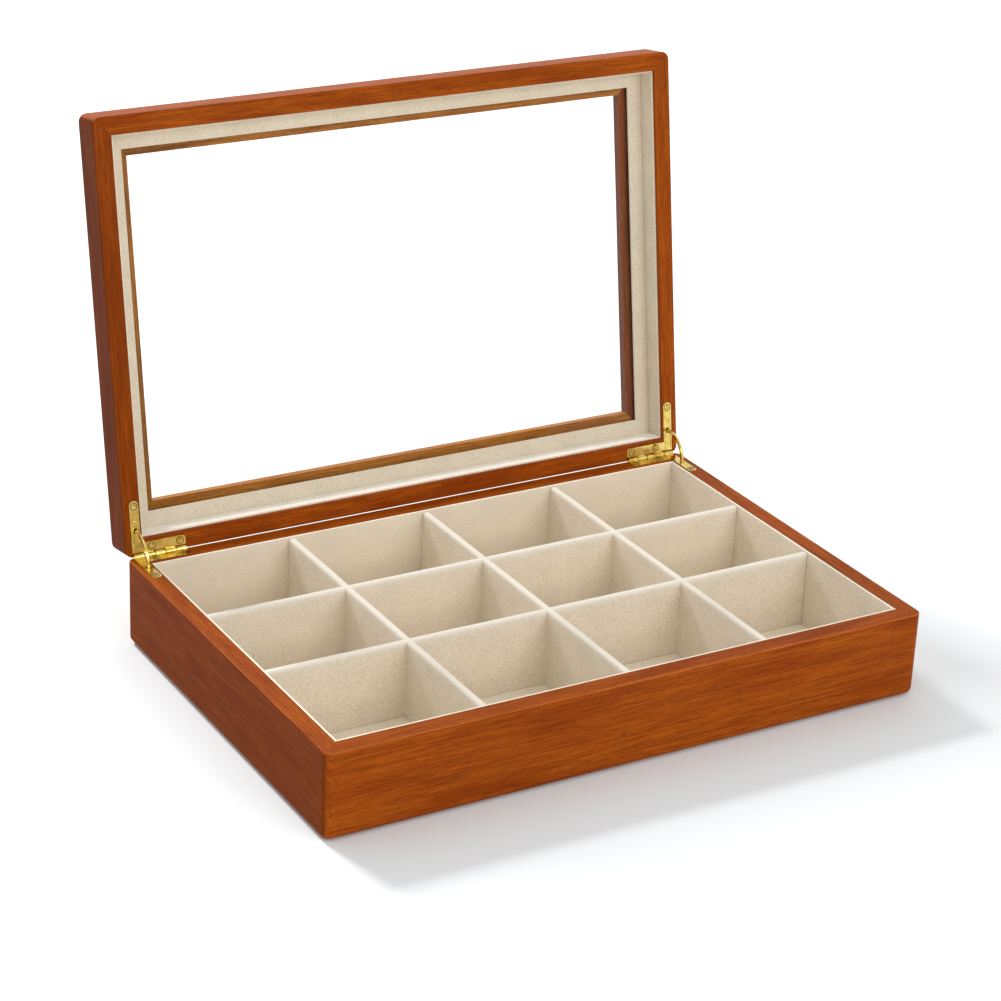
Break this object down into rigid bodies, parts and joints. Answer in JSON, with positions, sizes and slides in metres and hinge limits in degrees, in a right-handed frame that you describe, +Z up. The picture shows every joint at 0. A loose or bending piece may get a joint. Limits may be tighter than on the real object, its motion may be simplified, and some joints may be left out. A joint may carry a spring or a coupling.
{
  "type": "ring display box",
  "caption": "Wooden ring display box with a velvet-lined tray of compartments and a hinged glazed lid on brass quadrant stay hinges.",
  "frame": {"origin": "middle of the underside, on the surface that the box stands on", "axes": "+X to the right along the front, +Y to the back where the hinges are, +Z up"},
  "size_m": [0.22, 0.1849, 0.1764],
  "materials": {
    "wood": "satin lacquered red-brown hardwood",
    "plug_wood": "satin, end grain",
    "board": "bare plywood",
    "felt": "short brown felt",
    "velvet": "cream velvet",
    "glass": "clear",
    "brass": "polished brass plate",
    "magnet": "nickel plated"
  },
  "bodies": {
    "base": {"base_front_rail": "wood", "base_back_rail": "wood", "base_left_rail": "wood", "base_right_rail": "wood", "bottom_board": "board", "underside_felt": "felt", "floor_pad": "velvet", "lining_front": "velvet", "lining_back": "velvet", "lining_left": "velvet", "lining_right": "velvet", "column_divider_left": "velvet", "column_divider_middle": "velvet", "column_divider_right": "velvet", "row_divider_front": "velvet", "row_divider_back": "velvet", "base_magnet": "magnet", "base_magnet_plug": "plug_wood", "left_hinge_base_leaf": "brass", "right_hinge_base_leaf": "brass", "left_hinge_pin": "brass", "right_hinge_pin": "brass", "left_hinge_base_screws": "brass", "right_hinge_base_screws": "brass"},
    "lid": {"lid_front_rail": "wood", "lid_back_rail": "wood", "lid_left_rail": "wood", "lid_right_rail": "wood", "window_glass": "glass", "lid_lining_frame": "velvet", "lid_lining_front": "velvet", "lid_lining_back": "velvet", "lid_lining_left": "velvet", "lid_lining_right": "velvet", "lid_magnet": "magnet", "lid_magnet_plug": "plug_wood", "left_hinge_lid_leaf": "brass", "right_hinge_lid_leaf": "brass", "left_hinge_lid_screws": "brass", "right_hinge_lid_screws": "brass"},
    "stay_left": {"left_stay": "brass"},
    "stay_right": {"right_stay": "brass"}
  },
  "joints": [
    {"name": "lid_hinge", "type": "hinge", "parent": "base", "child": "lid", "pos_m": [0, 0.07385, 0.0305], "axis": [1, 0, 0], "range_deg": [0, 99]},
    {"name": "left_stay_turn", "type": "hinge", "parent": "base", "child": "stay_left", "pos_m": [-0.106, 0.07385, 0.0305], "axis": [1, 0, 0], "range_deg": [0, 49.5]},
    {"name": "right_stay_turn", "type": "hinge", "parent": "base", "child": "stay_right", "pos_m": [0.106, 0.07385, 0.0305], "axis": [1, 0, 0], "range_deg": [0, 49.5]}
  ],
  "couplings": [
    {"joint": "left_stay_turn", "follows": "lid_hinge", "ratio": 0.5},
    {"joint": "right_stay_turn", "follows": "lid_hinge", "ratio": 0.5}
  ]
}
